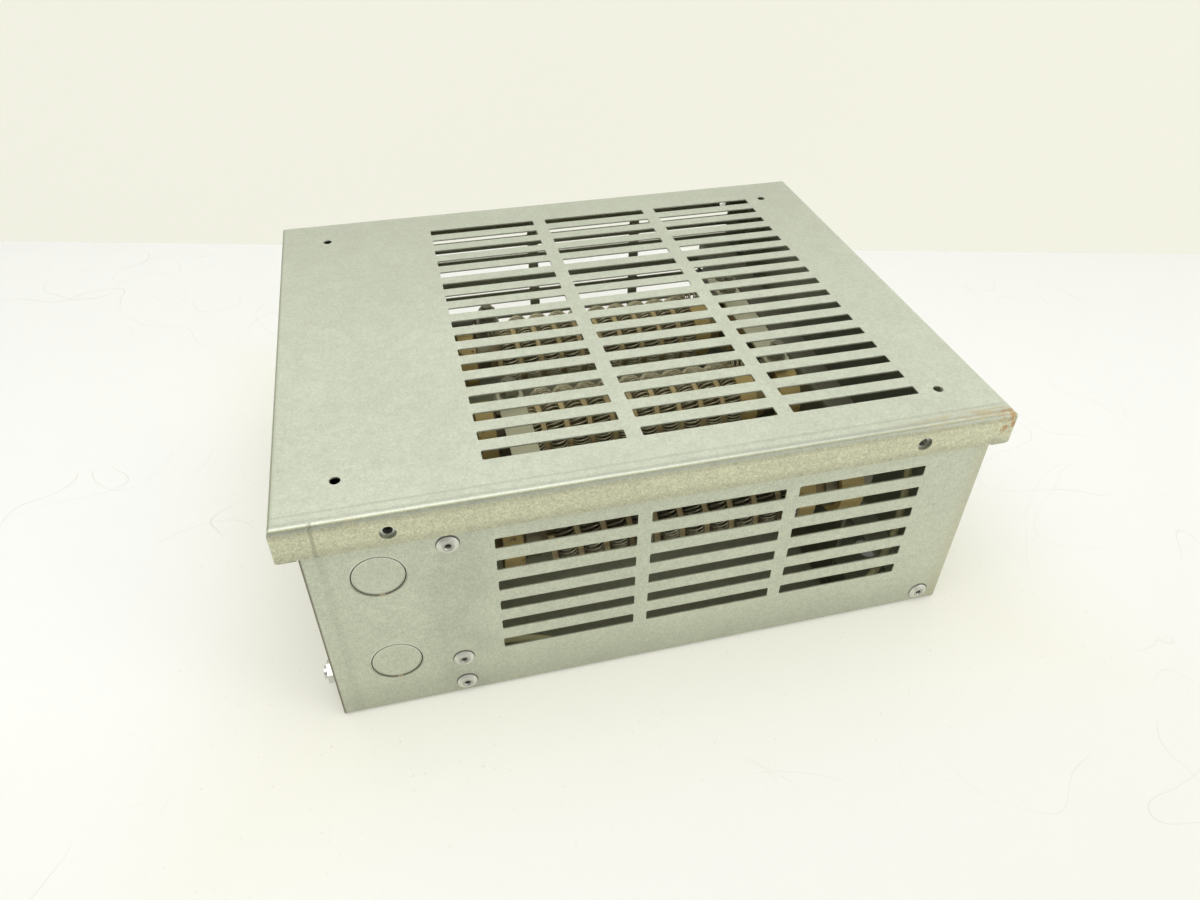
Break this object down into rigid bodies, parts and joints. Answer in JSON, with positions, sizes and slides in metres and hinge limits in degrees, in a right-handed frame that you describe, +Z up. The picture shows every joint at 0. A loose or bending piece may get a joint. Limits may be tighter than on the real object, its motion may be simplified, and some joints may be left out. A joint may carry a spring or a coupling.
{
  "type": "braking resistor",
  "caption": "Ventilated sheet-steel braking resistor: wire-wound ceramic elements wired in series in a slotted case with a lift-off lid and a wiring compartment.",
  "frame": {"origin": "middle of the underside of the case, level with the face it stands on", "axes": "+Z up through the lid, +X along the case from the wiring compartment to the element end, +Y from the knockout side to the back"},
  "size_m": [0.3302, 0.27, 0.127],
  "materials": {
    "galvanised_sheet": "hot-dip galvanised, faint spangle, satin",
    "element_ceramic": "unglazed tan porcelain, matt",
    "resistance_wire": "drawn nickel-chrome wire, dark satin",
    "terminal_steel": "plated, bright satin",
    "zinc_hardware": "zinc plated, bright",
    "rivet_aluminium": "bright, domed",
    "lead_sleeve": "silicone rubber sleeve, grey",
    "tinned_lug": "tinned copper, satin",
    "grommet_rubber": "black rubber",
    "switch_metal": "drawn cup, satin",
    "moulded_plastic": "black phenolic",
    "terminal_brass": "satin brass"
  },
  "bodies": {
    "case": {"case_wrap": "galvanised_sheet", "left_end_panel": "galvanised_sheet", "right_end_panel": "galvanised_sheet", "partition": "galvanised_sheet", "element_bracket": "galvanised_sheet", "block_stand": "galvanised_sheet", "ceramic_core_front": "element_ceramic", "ceramic_core_middle": "element_ceramic", "ceramic_core_rear": "element_ceramic", "left_spacers": "element_ceramic", "right_spacers": "element_ceramic", "end_rings": "element_ceramic", "resistance_coil_front": "resistance_wire", "resistance_coil_middle": "resistance_wire", "resistance_coil_rear": "resistance_wire", "left_terminal_clamp_front": "terminal_steel", "left_terminal_clamp_middle": "terminal_steel", "left_terminal_clamp_rear": "terminal_steel", "right_terminal_clamp_front": "terminal_steel", "right_terminal_clamp_middle": "terminal_steel", "right_terminal_clamp_rear": "terminal_steel", "left_jumper_strap": "terminal_steel", "right_jumper_strap": "terminal_steel", "support_rods": "zinc_hardware", "rod_washers": "zinc_hardware", "rod_nuts": "zinc_hardware", "terminal_screws": "zinc_hardware", "terminal_washers": "zinc_hardware", "terminal_nuts": "zinc_hardware", "lid_clinch_nuts": "zinc_hardware", "switch_screws": "zinc_hardware", "switch_nuts": "zinc_hardware", "terminal_block_screws": "zinc_hardware", "block_mounting_screws": "zinc_hardware", "ground_screw": "zinc_hardware", "ground_washers": "zinc_hardware", "ground_nut": "zinc_hardware", "case_rivets": "rivet_aluminium", "rear_lead": "lead_sleeve", "front_lead": "lead_sleeve", "lead_lugs": "tinned_lug", "grommets": "grommet_rubber", "thermal_switch_cup": "switch_metal", "thermal_switch_body": "moulded_plastic", "terminal_block": "moulded_plastic", "thermal_switch_tabs": "terminal_brass", "terminal_block_strips": "terminal_brass"},
    "lid": {"lid": "galvanised_sheet"}
  },
  "joints": [
    {"name": "lid_lift", "type": "slide", "parent": "case", "child": "lid", "axis": [0, 0, 1], "range_m": [0, 0.1]}
  ]
}
